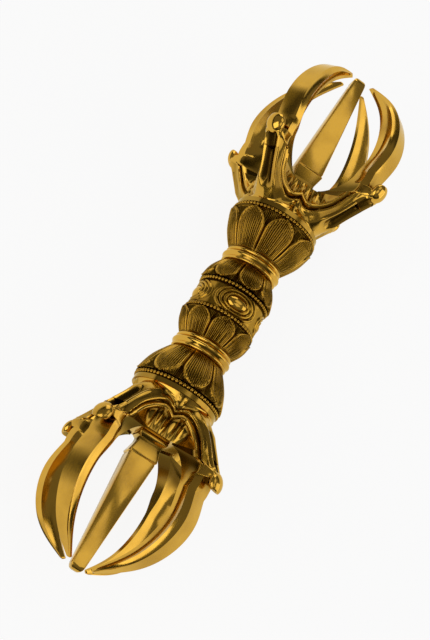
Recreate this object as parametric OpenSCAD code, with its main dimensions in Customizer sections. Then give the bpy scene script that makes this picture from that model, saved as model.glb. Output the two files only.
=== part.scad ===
// Five-pronged vajra, lying on its claws with its long axis along X.
// Every piece is drawn about the local Z axis, from the middle of the hub outwards, and then laid down.

/* [Eye hub] */
// Width of the eye hub along the axis
hub_w = 8; // [6:0.5:12]
// Radius of the hub's barrel
hub_r = 10.6; // [9.6:0.1:12]
// Length of an eye round the barrel
eye_len = 6.3; // [5:0.1:7]
// Height of an eye along the axis
eye_h = 3.9; // [3:0.1:4.4]
// How far the crown of an eye stands out of the barrel
eye_rise = 0.9; // [0.5:0.1:1.5]
// How deep an eye sits in its socket
eye_seat = 1.4; // [1:0.1:2.5]
// Width of the raised rim round an eye
eye_rim_w = 0.8; // [0.5:0.1:1]
// Height of the raised rim round an eye
eye_rim_h = 0.5; // [0.2:0.1:0.8]

/* [Lotus cups] */
// Number of petals on each cup
petals = 8; // [6:1:12]
// Depth of the creases between petals
crease = 0.9; // [0.3:0.1:1.4]
// Length of an inner cup, from the bead ring to the collar
inner_len = 8; // [7:0.1:11]
// Radius of an inner cup at its rim
inner_rim_r = 11.6; // [10.8:0.1:13]
// Radius of an inner cup at the collar
inner_neck_r = 8.4; // [7.5:0.1:9.5]
// Radius of an inner cup halfway between the two
inner_belly_r = 10.7; // [10:0.1:11.5]
// Length of an outer cup, from the collar to the bead ring
outer_len = 11.9; // [10:0.1:15]
// Radius of an outer cup at its rim
outer_rim_r = 14.1; // [13:0.1:15.5]
// Radius of an outer cup at the collar
outer_neck_r = 8.5; // [7.5:0.1:9.5]
// Radius of an outer cup halfway between the two
outer_belly_r = 12.2; // [11.2:0.1:13]

/* [Bead rings] */
// Diameter of a bead on the inner cups
inner_bead_d = 1.2; // [0.8:0.1:1.4]
// Number of beads round an inner cup
inner_beads = 48; // [36:1:54]
// Diameter of a bead on the outer cups
outer_bead_d = 1.4; // [1:0.1:1.5]
// Number of beads round an outer cup
outer_beads = 54; // [40:1:56]
// Share of a bead's diameter that stands out of its ring
bead_show = 0.35; // [0.25:0.05:0.45]
// Plain edge of a bead ring on each side of its beads
bead_margin = 0.1; // [0.05:0.05:0.3]

/* [Collars] */
// Width of the collar's middle reed
reed_mid_w = 2.6; // [2:0.1:3.5]
// Width of the collar's two side reeds
reed_side_w = 1; // [0.7:0.1:1.5]
// Radius over the middle reed
collar_r = 9.6; // [8.6:0.1:10]
// How far the side reeds lie below the middle one
reed_step = 0.5; // [0.2:0.1:0.8]

/* [Crown] */
// Length of the crown, from the bead ring to the seats of the prongs
crown_len = 14; // [12:0.5:17]
// Height of the plain ledge over the bead ring
ledge_h = 1.5; // [1:0.1:2.5]
// Radius of the ledge
ledge_r = 13.6; // [13:0.1:14.5]
// Height of the arch edge between two arms, over the bead ring
arch_h = 7.9; // [6:0.1:9]
// Radius of the crown at the arch edge
arch_r = 12.6; // [11.5:0.1:13]
// Radius of the crown between the arms at the seats
saddle_r = 8.6; // [8:0.1:9.5]
// Width of an arm
arm_w = 7; // [6.4:0.1:8]
// How far an arm reaches from the axis at its seat
arm_reach = 23.6; // [21.5:0.1:24.5]
// How late an arm sweeps out: 1 is a straight line
arm_sweep = 1.15; // [1:0.05:1.4]
// Rounding of an arm's outer corners
arm_round = 2.4; // [1:0.1:3]

/* [Side prongs] */
// Height of a side prong over its seat
prong_h = 42.6; // [39:0.1:48]
// Distance of the prong's inner foot from the axis
foot_in = 9.4; // [8.8:0.1:11]
// Height of the small step at the inner foot
foot_step = 1.7; // [1:0.1:2.5]
// Width of the inner foot at the seat
root_w = 5.2; // [4:0.1:6]
// How far the claw reaches from the axis
claw_reach = 29.2; // [28.5:0.1:32]
// Height of the middle of the claw's lip over the seat
claw_mid_h = 5.6; // [4.6:0.1:6]
// Thickness of the claw's lip
claw_t = 3; // [2.4:0.1:4]
// Height of the claw's lip from beak to top
claw_lip_h = 6; // [5:0.1:7]
// Width of the claw at its lip
claw_w = 4.4; // [4:0.1:6]
// Distance of the blade's outer face from the axis where it leaves the claw
neck_out = 23.8; // [22.5:0.1:25]
// Height over the seat where the blade leaves the claw
neck_h = 10.4; // [10:0.1:11.5]
// Distance of the blade's keel from the axis where it leaves the claw
neck_in = 17.1; // [16:0.1:18]
// Distance of the blade's outer face from the axis at its widest
bulge_out = 25.9; // [24:0.1:27]
// Distance of the blade's keel from the axis at its widest
bulge_in = 18.3; // [17:0.1:19.5]
// Height of the widest place over the seat
bulge_h = 19.5; // [17:0.1:22]
// Width of the blade's outer face at its widest
blade_w = 6.4; // [6:0.1:7.4]
// Width of the blade over its side ridges
ridge_w = 7.9; // [6.8:0.1:8.4]
// Width of the blade's keel
keel_w = 1.2; // [0.8:0.1:2]
// Hollow of the spoon faces beside the keel
spoon = 0.55; // [0.1:0.05:0.9]
// Distance of the prong's tip from the axis
tip_r = 5.8; // [5.2:0.1:7]
// Thickness of the blade at its tip
tip_t = 1.8; // [1.2:0.1:2.4]
// Width of the blade at its tip
tip_w = 1.6; // [1:0.1:2.4]
// Radius of the peg under the foot
peg_r = 1.5; // [1:0.1:2]
// Length of the peg
peg_len = 4; // [3:0.5:6]

/* [Centre prongs] */
// Height of a centre prong over its seat
centre_h = 44.5; // [40:0.1:50]
// Width of the plinth at its foot
plinth_w = 9.2; // [8.4:0.1:10]
// Height of the plinth
plinth_h = 4.4; // [3:0.1:5]
// Width at the groove over the plinth
groove_w = 7.2; // [6:0.1:8]
// Width of the blade at its shoulder
shoulder_w = 8.6; // [7.6:0.1:9.4]
// Height of the shoulder over the seat
shoulder_h = 7.5; // [6.8:0.1:9]
// Width of the blade at its tip
point_w = 4.2; // [3:0.1:5]

/* [Tie rod and fits] */
// Radius of the tie rod
rod_r = 2.5; // [2:0.1:3]
// How far the tie rod goes into each centre prong
rod_grip = 8; // [6:0.5:12]
// Clearance round the tie rod, pegs and eyes
clearance = 0.08; // [0.05:0.01:0.15]
// Depth of the flats on the claws that the vajra lies on
rest_flat = 0.7; // [0.4:0.1:1]

/* [Hidden] */

// Where each piece starts along the axis
inner_ring_z = hub_w / 2;
inner_cup_z = inner_ring_z + inner_bead_d + 2 * bead_margin;
collar_z = inner_cup_z + inner_len;
collar_len = reed_mid_w + 2 * reed_side_w;
outer_cup_z = collar_z + collar_len;
outer_ring_z = outer_cup_z + outer_len;
crown_z = outer_ring_z + outer_bead_d + 2 * bead_margin;
seat_z = crown_z + crown_len;

// Fits
rod_hole_r = rod_r + clearance;
peg_hole_r = peg_r + clearance;
peg_at = (foot_in + arm_reach) / 2;
lip_r = claw_reach - claw_t;

// Height of the axis over the surface: the lower claws lie on flats at their corners
rest_r = (claw_reach + claw_w / 2) / sqrt(2) - rest_flat;

// How a petal's crease fades along the cup, and how sharp it is between two petals
crease_fade = 150;
crease_sharp = 0.7;

// The fillet between an arm and the crown's wall, as a share of the room there
fillet_share = 0.6;
seam = 0.02;

// Where the claw's lip starts under the beak and ends at the top
lip_from = -70;
lip_to = 110;

// Where the blade bends in and turns to its tip: shares of the way in from its widest place, and of the way up
bend_out = [0.28, 0.63];
turn_out = [0.57, 0.82];
bend_in = [0.24, 0.54];
turn_in = [0.7, 0.8];

// Where the inner foot turns to the keel: shares of the way out to the neck, and of the way up
root_turn = [0.75, 0.4];

// Depth of the foot's and the blade's section points, from 0 at the keel to 1 at the outer face
foot_depths = [0.6, 0.3];
edge_depth = 0.96;
band_depth = 0.84;
ridge_depth = 0.68;
spoon_depth = 0.36;
band_hollow = 0.1;

// How late along its length a blade narrows to its tip
narrowing = 2.2;

// How far along an arm its side starts, where the room for the fillet is short
arm_start = 0.6;

// Radius of an eye's rounded crown, as a share of its length
dome_share = 1.1;

// Height of the groove over a plinth and the rounding of a centre prong's tip, as shares
groove_share = 0.4;
tip_share = 0.25;
tip_bevel = [0.3, 0.7];

// Steps round and along the lofted forms
petal_steps = 8;
cup_steps = 7;
claw_steps = 9;
blade_steps = 12;
crown_steps = 6;

// A smooth curve through points: the place at t, from 0 at the first point to 1 at the last
function at(p, i) = i < 0 ? 2 * p[0] - p[1] : i >= len(p) ? 2 * p[len(p) - 1] - p[len(p) - 2] : p[i];
function spline(p, t) =
    let (s = t * (len(p) - 1), i = min(floor(s), len(p) - 2), f = s - i)
    let (a = at(p, i - 1), b = at(p, i), c = at(p, i + 1), d = at(p, i + 2))
    b + 0.5 * f * (c - a + f * (2 * a - 5 * b + 4 * c - d + f * (3 * (b - c) + d - a)));
function mix(a, b, t) = a + (b - a) * t;
function ease(t) = t * t * (3 - 2 * t);
function mean(p) = [for (k = [0:2]) mean_of(p, k)];
function mean_of(p, k, i = 0) = i == len(p) ? 0 : p[i][k] / len(p) + mean_of(p, k, i + 1);

// A closed skin over rings of points that all have the same count, with a flat cap on both ends
module loft(rings) {
    n = len(rings[0]);
    last = len(rings) - 1;
    points = [for (r = rings) each r];
    low = len(points);
    skin = [for (j = [0:last - 1], i = [0:n - 1])
        let (a = j * n + i, b = j * n + (i + 1) % n)
        each [[a, a + n, b], [b, a + n, b + n]]];
    caps = [for (i = [0:n - 1])
        let (b = (i + 1) % n)
        each [[low, i, b], [low + 1, last * n + b, last * n + i]]];
    polyhedron(concat(points, [mean(rings[0]), mean(rings[last])]), concat(skin, caps));
}

// Lays a piece that stands on the axis down along X, at the left or the right end
module laid(end = 1) {
    translate([0, 0, rest_r]) rotate([0, 90, 0]) mirror([0, 0, end > 0 ? 0 : 1]) children();
}

// A hole for the tie rod
module rod_hole(z0, z1) {
    translate([0, 0, z0 - 1]) cylinder(r = rod_hole_r, h = z1 - z0 + 2, $fn = 48);
}

// An oval prism that points outwards from the axis
module oval_bar(length, height, r0, r1) {
    outline = [for (a = [0:11.25:359]) [height / 2 * cos(a), length / 2 * sin(a)]];
    translate([r0, 0, 0]) rotate([0, 90, 0]) linear_extrude(r1 - r0) polygon(outline);
}

module tie_rod() {
    half = seat_z + rod_grip;
    color("darkgoldenrod") laid() translate([0, 0, -half]) cylinder(r = rod_r, h = 2 * half, $fn = 48);
}

// Barrel with a raised oval rim and a socket for each eye
module eye_hub() {
    seat_r = hub_r - eye_seat;
    color("goldenrod") laid() difference() {
        union() {
            translate([0, 0, -hub_w / 2]) cylinder(r = hub_r, h = hub_w, $fn = 96);
            intersection() {
                translate([0, 0, -hub_w / 2]) cylinder(r = hub_r + eye_rim_h, h = hub_w, $fn = 96);
                for (k = [0:3])
                    rotate([0, 0, 90 * k])
                        oval_bar(eye_len + 2 * eye_rim_w, eye_h + 2 * eye_rim_w, seat_r, hub_r + 2 * eye_rim_h);
            }
        }
        for (k = [0:3])
            rotate([0, 0, 90 * k])
                oval_bar(eye_len + 2 * clearance, eye_h + 2 * clearance, seat_r, hub_r + 2 * eye_rim_h);
        rod_hole(-hub_w / 2, hub_w / 2);
    }
}

// Oval eye with a rounded crown, seated in its socket
module eye_boss(k) {
    seat_r = hub_r - eye_seat;
    top_r = hub_r + eye_rise;
    dome_r = dome_share * eye_len;
    color("gold") laid() rotate([0, 0, 90 * k]) intersection() {
        oval_bar(eye_len, eye_h, seat_r, top_r);
        translate([top_r - dome_r, 0, 0]) sphere(r = dome_r, $fn = 64);
    }
}

// Flat ring edged with beads, from z0 outwards
module bead_ring(end, z0, d, count, r) {
    ring_h = d + 2 * bead_margin;
    ring_r = r - bead_show * d;
    color("goldenrod") laid(end) difference() {
        union() {
            translate([0, 0, z0]) cylinder(r = ring_r, h = ring_h, $fn = 96);
            for (i = [0:count - 1])
                rotate([0, 0, 360 * (i + 0.5) / count])
                    translate([r - d / 2, 0, z0 + ring_h / 2]) sphere(d = d, $fn = 24);
        }
        rod_hole(z0, z0 + ring_h);
    }
}

// Cup of petals on a smooth profile of radius and height, creased between the petals
module petal_cup(end, profile) {
    n = petals * petal_steps;
    rings = [for (j = [0:cup_steps])
        let (t = j / cup_steps, p = spline(profile, t), dip = crease * sin(crease_fade * t))
        [for (i = [0:n - 1])
            let (a = 360 * i / n, r = p[0] - dip * (1 - pow(abs(cos(petals * a / 2)), crease_sharp)))
            [r * cos(a), r * sin(a), p[1]]]];
    z = [for (p = profile) p[1]];
    color("darkgoldenrod") laid(end) difference() {
        loft(z[0] < z[len(z) - 1] ? rings : [for (j = [cup_steps:-1:0]) rings[j]]);
        rod_hole(min(z), max(z));
    }
}

module inner_lotus(end) {
    petal_cup(end, [
        [inner_neck_r, inner_cup_z + inner_len],
        [inner_belly_r, inner_cup_z + inner_len / 2],
        [inner_rim_r, inner_cup_z]
    ]);
}

module outer_lotus(end) {
    petal_cup(end, [
        [outer_neck_r, outer_cup_z],
        [outer_belly_r, outer_cup_z + outer_len / 2],
        [outer_rim_r, outer_cup_z + outer_len]
    ]);
}

// Ring of three polished reeds, the middle one proud
module collar(end) {
    core_r = collar_r - reed_step - reed_side_w / 2;
    color("gold") laid(end) translate([0, 0, collar_z]) difference() {
        rotate_extrude($fn = 96) {
            square([core_r, collar_len]);
            translate([collar_r - reed_mid_w / 2, collar_len / 2]) circle(d = reed_mid_w, $fn = 48);
            for (y = [reed_side_w / 2, collar_len - reed_side_w / 2])
                translate([core_r, y]) circle(d = reed_side_w, $fn = 32);
        }
        rod_hole(0, collar_len);
    }
}

// Half outline of the crown between the middle of an arm and the middle of an arch
function crown_half(reach, saddle) =
    let (h = arm_w / 2, root = sqrt(saddle * saddle - h * h), fillet = fillet_share * (saddle * sin(45) - h))
    let (turn = asin((h + fillet) / saddle), tip = max(reach, root + arm_round))
    [
        each [for (a = [0, 45, 90])
            [tip - arm_round * (1 - cos(a)), h - arm_round * (1 - sin(a))]],
        [min(root + fillet, mix(root, tip - arm_round, arm_start)), h],
        [root + fillet / 4, h + fillet / 4],
        [saddle * cos(turn), saddle * sin(turn)],
        [saddle * cos((turn + 45) / 2), saddle * sin((turn + 45) / 2)]
    ];
function crown_ring(reach, saddle, z) =
    let (half = crown_half(reach, saddle), n = len(half))
    [for (k = [0:3])
        let (c = cos(90 * k), s = sin(90 * k))
        each [for (p = concat(
            [[max(reach, half[0][0]), 0]],
            half,
            [[saddle * cos(45), saddle * sin(45)]],
            [for (i = [n - 1:-1:0]) [half[i][1], half[i][0]]]))
            [p[0] * c - p[1] * s, p[0] * s + p[1] * c, z]]];

// Four arms that sweep out of a round ledge, with an arch between each two
module crown(end) {
    base_z = crown_z + ledge_h;
    rings = concat(
        [crown_ring(ledge_r, ledge_r, crown_z), crown_ring(ledge_r, ledge_r, base_z)],
        [for (j = [0:crown_steps])
            let (
                t = j / crown_steps,
                z = mix(base_z + seam, seat_z, t),
                fall = ease(max(0, z - crown_z - arch_h) / (crown_len - arch_h)),
                saddle = mix(arch_r, saddle_r, fall)
            )
            crown_ring(mix(arch_r, arm_reach, pow(t, arm_sweep)), saddle, z)]
    );
    color("goldenrod") laid(end) difference() {
        rotate([0, 0, 45]) loft(rings);
        for (k = [0:3])
            rotate([0, 0, 45 + 90 * k])
                translate([peg_at, 0, seat_z - peg_len - clearance])
                    cylinder(r = peg_hole_r, h = peg_len + 1, $fn = 32);
        rod_hole(crown_z, seat_z);
    }
}

// Stations along a side prong: outer edge, inner edge, and how far the foot has become a blade
arm_slope = arm_sweep * (arm_reach - arch_r) / (crown_len - ledge_h);
claw_mid = [lip_r, claw_mid_h];
function lip(a) = claw_mid + [claw_t * cos(a), claw_lip_h / 2 * sin(a)];
function blade_at(r, share) = [mix(r, tip_r, share[0]), mix(bulge_h, prong_h, share[1])];
blade_out = [
    [neck_out, neck_h],
    [bulge_out, bulge_h],
    blade_at(bulge_out, bend_out),
    blade_at(bulge_out, turn_out),
    [tip_r + tip_t / 2, prong_h]
];
blade_in = [
    [neck_in, neck_h],
    [bulge_in, bulge_h],
    blade_at(bulge_in, bend_in),
    blade_at(bulge_in, turn_in),
    [tip_r - tip_t / 2, prong_h - tip_t / 2]
];
chamfer_in = [
    [foot_in, foot_step],
    [mix(foot_in, neck_in, root_turn[0]), mix(foot_step, neck_h, root_turn[1])],
    [neck_in, neck_h]
];
stations = concat(
    [[[arm_reach, 0], [foot_in, 0], 0]],
    [[[arm_reach + arm_slope * foot_step, foot_step], [foot_in, foot_step], 0]],
    [for (j = [0:claw_steps - 1])
        let (t = j / claw_steps)
        [lip(mix(lip_from, lip_to, t)), spline(chamfer_in, mix(1 / claw_steps, 1, t)), t / 2]],
    [for (j = [0:blade_steps])
        let (t = j / blade_steps)
        [spline(blade_out, t), spline(blade_in, t), mix(0.5, 1, min(1, 4 * t))]]
);

// Half section at a station, as pairs of depth (0 at the keel, 1 at the outer face) and half width
function prong_half(i) =
    let (
        blade_t = max(0, i - claw_steps - 2) / blade_steps,
        claw_here = i < 2 || i > claw_steps + 2 ? 0 : sin(180 * (i - 2) / claw_steps),
        m = ease(stations[i][2]),
        taper = pow(blade_t, narrowing),
        corner = arm_round / (arm_reach - foot_in),
        foot = arm_w / 2,
        bevel = arm_round * (1 - sin(45)),
        face = mix(mix(foot - arm_round, blade_w / 2, m), claw_w / 2, claw_here),
        ridge = ridge_w / 2,
        root = root_w / 2,
        keel = mix(root, keel_w / 2, m),
        half = [
            [1, face],
            [mix(1 - corner * (1 - cos(45)), edge_depth, m), mix(foot - bevel, face + band_hollow, m)],
            [mix(1 - corner, band_depth, m), mix(foot, (face + ridge) / 2 - band_hollow, m)],
            [mix(foot_depths[0], ridge_depth, m), mix(foot, ridge, m)],
            [mix(foot_depths[1], spoon_depth, m), mix((foot + root) / 2, (ridge + keel) / 2 - spoon, m)],
            [0, keel]
        ]
    )
    [for (p = half) [p[0], mix(p[1], tip_w / 2, taper)]];
function prong_ring(i) =
    let (o = stations[i][0], q = stations[i][1], half = prong_half(i), n = len(half))
    [for (p = concat(half, [for (j = [n - 1:-1:0]) [half[j][0], -half[j][1]]]))
        let (c = mix(q, o, p[0]))
        [c[0], p[1], seat_z + c[1]]];

// Arm, claw and curved blade in one piece, with a peg under its foot
module side_prong(end, k) {
    color("gold") laid(end) intersection() {
        rotate([0, 0, 45 + 90 * k]) union() {
            loft([for (i = [0:len(stations) - 1]) prong_ring(i)]);
            translate([peg_at, 0, seat_z - peg_len]) cylinder(r = peg_r, h = peg_len + 1, $fn = 32);
        }
        translate([-rest_r, -rest_r, 0]) cube([2 * rest_r, 2 * rest_r, seat_z + 2 * prong_h]);
    }
}

// Straight square blade on a grooved plinth
module centre_prong(end) {
    tip_round = tip_share * point_w;
    groove_h = plinth_h + (plinth_w - groove_w) / 2;
    side = [
        [plinth_w / 2, 0],
        [plinth_w / 2, plinth_h],
        [groove_w / 2, groove_h],
        [groove_w / 2, mix(groove_h, shoulder_h, groove_share)],
        [shoulder_w / 2, shoulder_h],
        [point_w / 2, centre_h - 2 * tip_round],
        [point_w / 2 - tip_bevel[0] * tip_round, centre_h - tip_bevel[1] * tip_round],
        [point_w / 2 - tip_round, centre_h]
    ];
    outline = concat(side, [for (i = [len(side) - 1:-1:0]) [-side[i][0], side[i][1]]]);
    color("gold") laid(end) translate([0, 0, seat_z]) difference() {
        intersection() {
            rotate([90, 0, 0]) translate([0, 0, -plinth_w]) linear_extrude(2 * plinth_w) polygon(outline);
            rotate([90, 0, 90]) translate([0, 0, -plinth_w]) linear_extrude(2 * plinth_w) polygon(outline);
        }
        translate([0, 0, -1]) cylinder(r = rod_hole_r, h = rod_grip + clearance + 1, $fn = 48);
    }
}

tie_rod();
eye_hub();
eye_boss(3);  // eye_boss_front
eye_boss(2);  // eye_boss_top
eye_boss(1);  // eye_boss_back
eye_boss(0);  // eye_boss_bottom
for (end = [-1, 1]) {
    side = end < 0 ? "left" : "right";
    bead_ring(end, inner_ring_z, inner_bead_d, inner_beads, inner_rim_r);
    inner_lotus(end);
    collar(end);
    outer_lotus(end);
    bead_ring(end, outer_ring_z, outer_bead_d, outer_beads, outer_rim_r);
    crown(end);
    for (k = [0:3])
        side_prong(end, k);
    centre_prong(end);
}
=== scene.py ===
import math
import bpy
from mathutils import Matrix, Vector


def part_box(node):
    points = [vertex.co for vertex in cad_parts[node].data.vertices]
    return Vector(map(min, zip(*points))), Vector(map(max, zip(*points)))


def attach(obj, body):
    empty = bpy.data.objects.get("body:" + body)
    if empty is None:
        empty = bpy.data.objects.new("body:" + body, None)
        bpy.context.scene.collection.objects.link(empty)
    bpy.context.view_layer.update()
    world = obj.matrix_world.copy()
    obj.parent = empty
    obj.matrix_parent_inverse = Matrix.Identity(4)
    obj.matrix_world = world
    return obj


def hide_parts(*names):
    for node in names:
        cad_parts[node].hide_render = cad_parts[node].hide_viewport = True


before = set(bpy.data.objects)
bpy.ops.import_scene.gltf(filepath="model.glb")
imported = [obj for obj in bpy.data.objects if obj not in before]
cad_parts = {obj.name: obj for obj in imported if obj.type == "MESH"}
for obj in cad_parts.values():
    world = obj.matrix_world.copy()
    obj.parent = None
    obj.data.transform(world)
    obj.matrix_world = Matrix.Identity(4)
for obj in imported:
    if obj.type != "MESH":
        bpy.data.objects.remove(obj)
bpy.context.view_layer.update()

from types import SimpleNamespace

import bpy
from mathutils import Matrix, Vector

bl_info = {
    "name": "Five-pronged vajra",
    "version": (1, 0, 0),
    "blender": (4, 5, 0),
    "location": "View3D > Sidebar > Vajra",
    "description": "Models a brass five-pronged vajra round its packed solids",
    "category": "Add Mesh",
}

# Sizes and places are in millimetres, angles in degrees and shares from 0 to 1,
# unless a comment says otherwise.

# Metres in a millimetre
MM = 0.001
# How far a form stays inside the box of its solid
INSET = 0.001
# Points that agree to this many decimals, or lie closer than this, count as one
NEAR_DIGITS = 4
NEAR = 10 ** -NEAR_DIGITS
BODY = "root"
# Side of the middle on which each end lies
ENDS = {"left": -1, "right": 1}
PRONGS = (1, 2, 3, 4)
# A quarter and an eighth of a turn
QUARTER = 90
EIGHTH = 45
# Patina of the darkest cuts
DARKEST = 0.95
# Quarter turns of the eyes about the axis
EYES = {"bottom": 0, "back": 1, "top": 2, "front": 3}


def reach(node):
    """How far a node of the right half goes along the axis, as start and end in millimetres."""
    low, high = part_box(node)
    return low.x / MM, high.x / MM


def girth(node):
    """Largest radius of a round node in millimetres."""
    low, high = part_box(node)
    return (high.y - low.y) / 2 / MM


AXIS_H = sum(corner.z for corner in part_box("tie_rod")) / 2 / MM
HUB_END = reach("eye_hub")[1]
INNER_RING = reach("right_inner_bead_ring")
INNER_CUP = reach("right_inner_lotus")
COLLAR = reach("right_collar")
OUTER_CUP = reach("right_outer_lotus")
OUTER_RING = reach("right_outer_bead_ring")
CROWN = reach("right_crown")
SEAT = CROWN[1]
CENTRE_TIP = reach("right_centre_prong")[1]
PRONG_TIP = reach("right_prong_1")[1]


def length(name, text, value):
    """A length property with its default in millimetres."""
    return bpy.props.FloatProperty(
        name=name, description=text, default=value * MM, unit="LENGTH", precision=4)


def colour(name, text, value):
    """A colour property."""
    return bpy.props.FloatVectorProperty(
        name=name, description=text, default=value, size=3, subtype="COLOR")


class ProngSizes(bpy.types.PropertyGroup):
    """Sizes of a side prong, from the axis outwards and from its seat upwards"""
    foot_in: length("Foot", "Distance of the inner foot from the axis", 9.0)
    foot_step: length("Foot step", "Height of the small step at the inner foot", 0.5)
    arm_reach: length("Arm reach", "How far the arm reaches at the seat", 23.0)
    arm_w: length("Arm width", "Width of the arm at its side ribs", 7.2)
    root_w: length("Root width", "Width of the inner root at the seat", 5.2)
    claw_reach: length("Claw reach", "How far the claw reaches", 27.2)
    claw_mid: length("Claw height", "Height of the middle of the claw's lip", 4.4)
    claw_t: length("Claw depth", "Depth of the claw's lip", 2.7)
    claw_lip: length("Claw lip", "Height of the lip from beak to top", 3.2)
    claw_w: length("Claw width", "Width of the claw at its lip", 6.2)
    leaf_h: length("Claw leaf", "Height of the leaf that the claw curls up into", 6.6)
    leaf_t: length("Leaf depth", "Depth of the claw's leaf", 3.8)
    leaf_w: length("Leaf width", "Width of the claw's leaf", 6.0)
    scoop: length("Claw hollow", "Depth of the hollow on top of the claw", 0.35)
    neck_out: length("Neck face", "Outer face where the blade leaves the claw", 24.4)
    neck_in: length("Neck keel", "Keel where the blade leaves the claw", 17.1)
    neck_h: length("Neck height", "Height where the blade leaves the claw", 10.4)
    bulge_out: length("Widest face", "Outer face at the blade's widest place", 25.9)
    bulge_in: length("Widest keel", "Keel at the blade's widest place", 17.9)
    bulge_h: length("Widest height", "Height of the blade's widest place", 19.5)
    blade_w: length("Blade width", "Width of the outer face", 6.4)
    ridge_w: length("Ridge width", "Width over the side ridges", 7.9)
    keel_w: length("Keel width", "Width of the keel", 1.2)
    spoon: length("Spoon", "Hollow of the faces beside the keel", 0.6)
    tip_r: length("Tip", "Distance of the tip from the axis", 5.8)
    tip_t: length("Tip depth", "Depth of the blade at its tip", 1.4)
    tip_w: length("Tip width", "Width of the blade at its tip", 1.0)


class CrownSizes(bpy.types.PropertyGroup):
    """Sizes of a crown"""
    ledge_h: length("Ledge", "Height of the plain ledge", 1.5)
    ledge_r: length("Ledge radius", "Radius of the ledge", 13.6)
    wall_r: length("Wall radius", "Radius where the wall rises from the ledge", 13.0)
    arch_h: length("Arch height", "Height of the arch edge over the bead ring", 7.9)
    arch_r: length("Arch radius", "Radius of the arch edge", 12.6)
    saddle_r: length("Saddle radius", "Radius between the arms at the seats", 8.6)
    cusp: length("Cusp", "Height of the cusp in the middle of an arch", 1.3)
    rib: length("Rib", "How far the two swag ribs stand out", 0.55)
    groove: length("Groove", "Depth of the groove between the ribs", 0.75)
    hollow: length("Hollow", "Depth of the hollow along an arm's side", 0.25)
    channel: length("Channel", "Depth of the channel under an arm", 1.5)


class LotusSizes(bpy.types.PropertyGroup):
    """Sizes of the petals on the lotus cups"""
    petals: bpy.props.IntProperty(name="Petals", description="Petals on each cup", default=8)
    veins: bpy.props.IntProperty(name="Veins", description="Cut lines on each petal", default=15)
    inner_neck: length("Inner neck", "Radius of an inner cup at the collar", 8.4)
    inner_belly: length("Inner belly", "Radius of an inner cup halfway", 10.7)
    outer_neck: length("Outer neck", "Radius of an outer cup at the collar", 8.5)
    outer_belly: length("Outer belly", "Radius of an outer cup halfway", 12.2)
    petal_h: length("Petal relief", "How far a petal stands out of the cup", 0.75)
    vein_d: length("Vein depth", "Depth of a petal's cut lines", 0.28)


class HubSizes(bpy.types.PropertyGroup):
    """Sizes of the hub and its eyes"""
    eye_len: length("Eye length", "Length of an eye round the barrel", 6.3)
    eye_h: length("Eye height", "Height of an eye along the axis", 3.9)
    eye_rise: length("Eye rise", "How far an eye stands out of the barrel", 0.9)
    barrel_r: length("Barrel radius", "Radius of the barrel", 10.6)
    ring_gap: length("Ring pitch", "Distance between the oval rings round an eye", 1.2)
    ring_h: length("Ring relief", "Height of the oval rings", 0.6)


class CentreSizes(bpy.types.PropertyGroup):
    """Sizes of a centre prong, with heights from its seat"""
    plinth_w: length("Plinth width", "Width of the plinth", 9.2)
    plinth_h: length("Plinth height", "Height of the plinth", 1.3)
    groove_w: length("Groove width", "Width at the bottom of the groove", 7.3)
    groove_h: length("Groove foot", "Height where the groove starts", 2.0)
    band_h: length("Groove top", "Height where the groove ends", 3.3)
    shoulder_w: length("Shoulder width", "Width of the shoulder over the groove", 8.9)
    shoulder_h: length("Shoulder height", "Height where the shoulder is widest", 6.5)
    blade_w: length("Blade width", "Width of the blade at the shoulder", 8.4)
    point_w: length("Point width", "Width of the blade below its rounded point", 4.2)
    bevel: length("Bevel", "Width of the rounded edges", 0.22)


class BrassColours(bpy.types.PropertyGroup):
    """Colours of the brass"""
    bright: colour("Bright brass", "Colour of the polished faces", (0.62, 0.345, 0.032))
    warm: colour("Warm brass", "Colour where the polish has dulled", (0.48, 0.255, 0.018))
    aged: colour("Aged brass", "Colour of the carved cups", (0.34, 0.165, 0.009))
    # The deep colour is also painted as shade on the inner roots and at the barrel's ends, and as a dark
    # reflection in the channels under the arms
    deep: colour("Deep patina and shade", "Colour at the bottom of cuts and grooves", (0.028, 0.012, 0.001))


GROUPS = {
    "vajra_prong": ProngSizes,
    "vajra_crown": CrownSizes,
    "vajra_lotus": LotusSizes,
    "vajra_hub": HubSizes,
    "vajra_centre": CentreSizes,
    "vajra_brass": BrassColours,
}


def sizes(name):
    """The sizes of one group in millimetres, with counts as they are."""
    group = getattr(bpy.context.scene, name)
    found = {}
    for key in group.bl_rna.properties.keys():
        value = getattr(group, key)
        if isinstance(value, float):
            found[key] = value / MM
        elif isinstance(value, int):
            found[key] = value
    return SimpleNamespace(**found)


def mix(a, b, t):
    """The value a share t of the way from a to b."""
    return a + (b - a) * t


def ease(t):
    """A share from 0 to 1 that starts and stops gently."""
    t = min(1.0, max(0.0, t))
    return t * t * (3 - 2 * t)


def onset(x, start, span):
    """A share that goes gently from 0 to 1 while x passes from start through a span."""
    return ease((x - start) / span)


def hump(x, middle, width):
    """A smooth bump of height 1."""
    return math.exp(-(((x - middle) / width) ** 2))


def spline(points, t):
    """The place at t, from 0 to 1, on a smooth curve through the points."""
    last = len(points) - 1
    span = min(int(t * last), last - 1)
    f = t * last - span
    b = points[span]
    c = points[span + 1]
    a = points[span - 1] if span > 0 else 2 * b - c
    d = points[span + 2] if span + 2 <= last else 2 * c - b
    return b + 0.5 * f * (c - a + f * (2 * a - 5 * b + 4 * c - d + f * (3 * (b - c) + d - a)))


# Passes after which the curvatures of a smooth line have settled
CURL_PASSES = 40


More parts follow.
